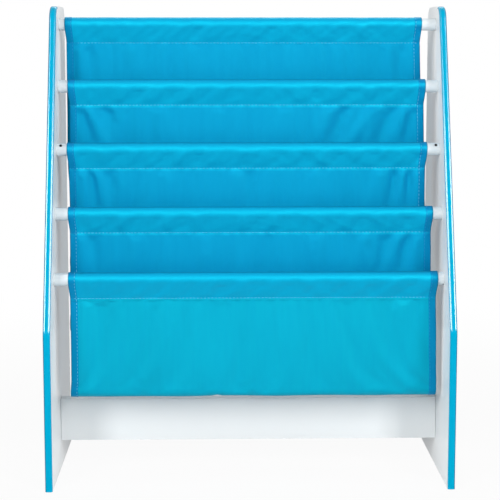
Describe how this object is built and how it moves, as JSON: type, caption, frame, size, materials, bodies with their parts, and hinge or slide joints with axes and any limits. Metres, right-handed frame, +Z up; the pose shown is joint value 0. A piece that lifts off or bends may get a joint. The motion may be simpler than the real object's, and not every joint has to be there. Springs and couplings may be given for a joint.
{
  "type": "sling bookshelf",
  "caption": "Low free-standing children's bookshelf: two leaning white side panels, rails one above another, and a blue cloth that hangs from them in open book pockets.",
  "frame": {"origin": "on the floor, in the middle of the shelf's width and depth", "axes": "+Z up, -Y towards the front where the books show, +X to the right seen from the front"},
  "size_m": [0.51, 0.23, 0.6],
  "materials": {
    "painted_board": "white semi-gloss paint on board",
    "blue_strip": "glossy",
    "white_tube": "white semi-gloss paint",
    "grey_plastic": "matte",
    "steel": "zinc plated",
    "dark_steel": "black",
    "beech": "raw",
    "blue_cloth": "smooth woven polyester with a soft gloss"
  },
  "bodies": {
    "root": {"left_side_panel": "painted_board", "left_edge_strip": "blue_strip", "left_rail_lock_screw": "dark_steel", "left_board_dowel_1": "beech", "left_board_dowel_2": "beech", "left_board_bolt": "steel", "left_barrel_nut": "steel", "left_plug_rail_1": "grey_plastic", "left_bolt_rail_1": "steel", "left_plug_rail_2": "grey_plastic", "left_bolt_rail_2": "steel", "left_plug_rail_3": "grey_plastic", "left_bolt_rail_3": "steel", "left_plug_rail_4": "grey_plastic", "left_bolt_rail_4": "steel", "left_plug_rail_5": "grey_plastic", "left_bolt_rail_5": "steel", "right_side_panel": "painted_board", "right_edge_strip": "blue_strip", "right_rail_lock_screw": "dark_steel", "right_board_dowel_1": "beech", "right_board_dowel_2": "beech", "right_board_bolt": "steel", "right_barrel_nut": "steel", "right_plug_rail_1": "grey_plastic", "right_bolt_rail_1": "steel", "right_plug_rail_2": "grey_plastic", "right_bolt_rail_2": "steel", "right_plug_rail_3": "grey_plastic", "right_bolt_rail_3": "steel", "right_plug_rail_4": "grey_plastic", "right_bolt_rail_4": "steel", "right_plug_rail_5": "grey_plastic", "right_bolt_rail_5": "steel", "bottom_board": "painted_board", "rail_1": "white_tube", "sling_channel_1": "blue_cloth", "sling_pocket_1": "blue_cloth", "rail_2": "white_tube", "sling_channel_2": "blue_cloth", "sling_pocket_2": "blue_cloth", "rail_3": "white_tube", "sling_channel_3": "blue_cloth", "sling_pocket_3": "blue_cloth", "rail_4": "white_tube", "sling_channel_4": "blue_cloth", "sling_pocket_4": "blue_cloth", "rail_5": "white_tube", "sling_channel_5": "blue_cloth"}
  },
  "joints": []
}
